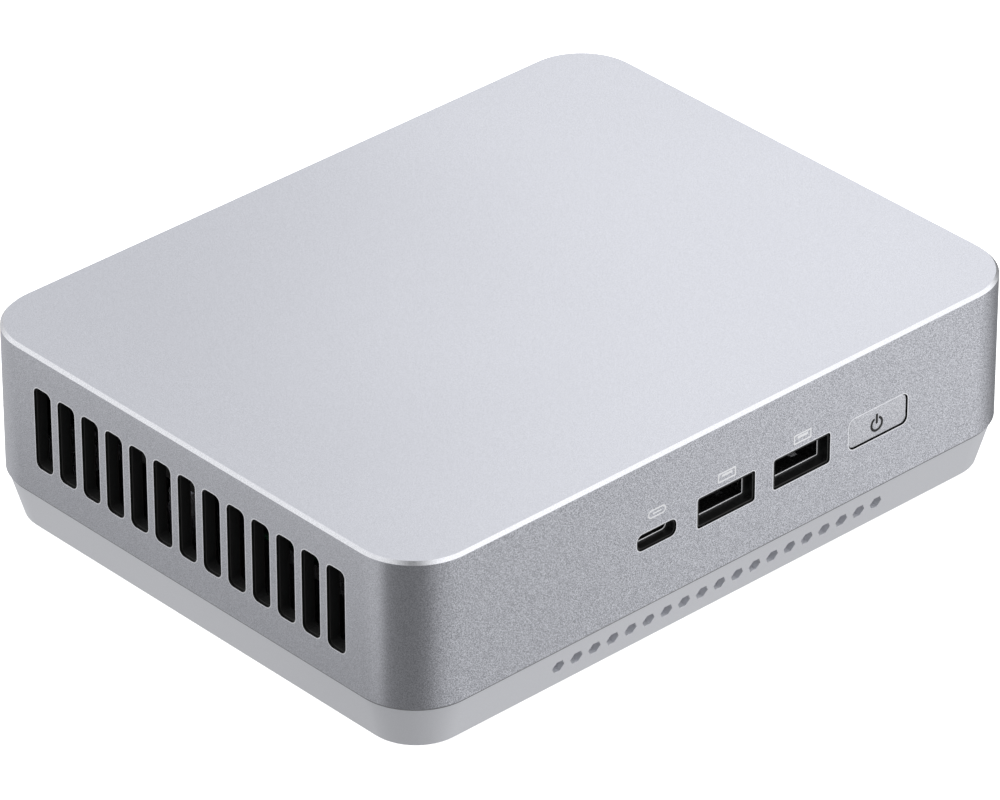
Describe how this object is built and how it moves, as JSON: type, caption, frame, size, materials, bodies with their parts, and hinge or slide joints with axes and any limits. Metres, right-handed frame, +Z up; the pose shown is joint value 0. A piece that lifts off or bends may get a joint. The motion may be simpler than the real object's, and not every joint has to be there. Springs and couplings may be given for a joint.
{
  "type": "mini pc",
  "caption": "Slim rounded desktop computer: bead-blasted aluminium housing with slotted sides on a drafted plastic base, sockets and a power button in front",
  "frame": {"origin": "centre of the footprint, on the plane the feet stand on", "axes": "front face with the power button towards -Y, +X to the right of someone facing the front, +Z up"},
  "size_m": [0.144, 0.112, 0.041],
  "materials": {
    "housing_aluminium": "bead-blasted, clear anodised",
    "base_plastic": "fine satin moulding",
    "foot_rubber": "matt",
    "sheet_steel": "zinc-plated sheet",
    "screw_steel": "nickel-plated",
    "bare_aluminium": "bare rolled sheet",
    "thermal_pad": "soft, dull",
    "dark_plastic": "fine grain",
    "black_plastic": "fine satin grain",
    "board_laminate": "solder mask",
    "component_black": "moulded epoxy",
    "socket_metal": "nickel-plated stamping",
    "socket_blue": "moulded",
    "gold_plate": "plated",
    "button_plastic": "silver-painted",
    "symbol_ink": "printed",
    "silicon": "polished",
    "copper": "bare copper",
    "lead_jacket": "extruded jacket",
    "light_plastic": "moulded"
  },
  "bodies": {
    "base": {"base_cover": "base_plastic", "rubber_feet": "foot_rubber", "base_shield": "sheet_steel", "shield_screws": "screw_steel", "ssd_cooling_bracket": "bare_aluminium", "ssd_thermal_pad": "thermal_pad", "lever_pin": "screw_steel"},
    "housing": {"top_shell": "housing_aluminium", "front_bezel": "black_plastic", "left_vent_liner": "black_plastic", "right_vent_liner": "black_plastic", "rear_io_panel": "black_plastic", "mainboard": "board_laminate", "board_screws": "screw_steel", "board_components": "component_black", "coin_cell": "screw_steel", "usb_a_front_shells": "socket_metal", "usb_a_front_tongues": "component_black", "usb_c_shells": "socket_metal", "usb_c_tongues": "black_plastic", "hdmi_shells": "socket_metal", "hdmi_tongues": "black_plastic", "lan_jack": "socket_metal", "usb_a_rear_shell": "socket_metal", "usb_a_rear_tongues": "socket_blue", "dc_jack": "black_plastic", "dc_pin": "gold_plate", "power_switch": "black_plastic", "cpu_substrate": "board_laminate", "cpu_dies": "silicon", "cold_plate": "copper", "cooler_screws": "screw_steel", "heat_pipes": "copper", "fin_stack": "bare_aluminium", "fan_housing": "dark_plastic", "fan_cover": "sheet_steel", "fan_stator": "copper", "fan_cable": "lead_jacket", "memory_socket_upper": "black_plastic", "memory_socket_lower": "black_plastic", "memory_module_upper": "board_laminate", "memory_module_lower": "board_laminate", "m2_sockets": "black_plastic", "ssd_module": "board_laminate", "wifi_module": "board_laminate", "antennas": "black_plastic", "antenna_cables": "lead_jacket"},
    "lever": {"release_lever": "base_plastic"},
    "slider": {"lock_slider": "dark_plastic"},
    "button": {"power_button": "button_plastic", "power_symbol": "symbol_ink"},
    "plunger": {"switch_plunger": "dark_plastic"},
    "fan": {"fan_impeller": "dark_plastic", "fan_shaft": "screw_steel"},
    "ssd_clip": {"ssd_latch": "light_plastic"},
    "arm_upper_left": {"memory_latch_upper_left": "socket_metal"},
    "arm_upper_right": {"memory_latch_upper_right": "socket_metal"},
    "arm_lower_left": {"memory_latch_lower_left": "socket_metal"},
    "arm_lower_right": {"memory_latch_lower_right": "socket_metal"}
  },
  "joints": [
    {"name": "housing_lift_off", "type": "slide", "parent": "base", "child": "housing", "axis": [0, 0, 1], "range_m": [0, 0.04]},
    {"name": "release_lever_hinge", "type": "hinge", "parent": "base", "child": "lever", "pos_m": [0, 0.0453, 0.0049], "axis": [1, 0, 0], "range_deg": [0, 80]},
    {"name": "lock_slider_slide", "type": "slide", "parent": "base", "child": "slider", "axis": [1, 0, 0], "range_m": [0, 0.005]},
    {"name": "power_button_press", "type": "slide", "parent": "housing", "child": "button", "axis": [0, 1, 0], "range_m": [0, 0.0005], "stiffness_N_per_m": 600},
    {"name": "switch_plunger_press", "type": "slide", "parent": "housing", "child": "plunger", "axis": [0, 1, 0], "range_m": [0, 0.0005]},
    {"name": "fan_spin", "type": "hinge", "parent": "housing", "child": "fan", "pos_m": [-0.016, -0.004, 0.034], "axis": [0, 0, 1], "continuous": true},
    {"name": "ssd_latch_turn", "type": "hinge", "parent": "housing", "child": "ssd_clip", "pos_m": [0.0225, 0.015, 0.0255], "axis": [0, 0, 1], "range_deg": [0, 90]},
    {"name": "memory_arm_upper_left", "type": "hinge", "parent": "housing", "child": "arm_upper_left", "pos_m": [-0.0604, -0.0246, 0.0248], "axis": [0, 0, 1], "range_deg": [0, 6], "stiffness_Nm_per_rad": 0.05},
    {"name": "memory_arm_upper_right", "type": "hinge", "parent": "housing", "child": "arm_upper_right", "pos_m": [0.0084, -0.0246, 0.0248], "axis": [0, 0, -1], "range_deg": [0, 6], "stiffness_Nm_per_rad": 0.05},
    {"name": "memory_arm_lower_left", "type": "hinge", "parent": "housing", "child": "arm_lower_left", "pos_m": [-0.0604, -0.0311, 0.0203], "axis": [0, 0, 1], "range_deg": [0, 6], "stiffness_Nm_per_rad": 0.05},
    {"name": "memory_arm_lower_right", "type": "hinge", "parent": "housing", "child": "arm_lower_right", "pos_m": [0.0084, -0.0311, 0.0203], "axis": [0, 0, -1], "range_deg": [0, 6], "stiffness_Nm_per_rad": 0.05}
  ],
  "couplings": [
    {"joint": "switch_plunger_press", "follows": "power_button_press", "ratio": 1}
  ]
}
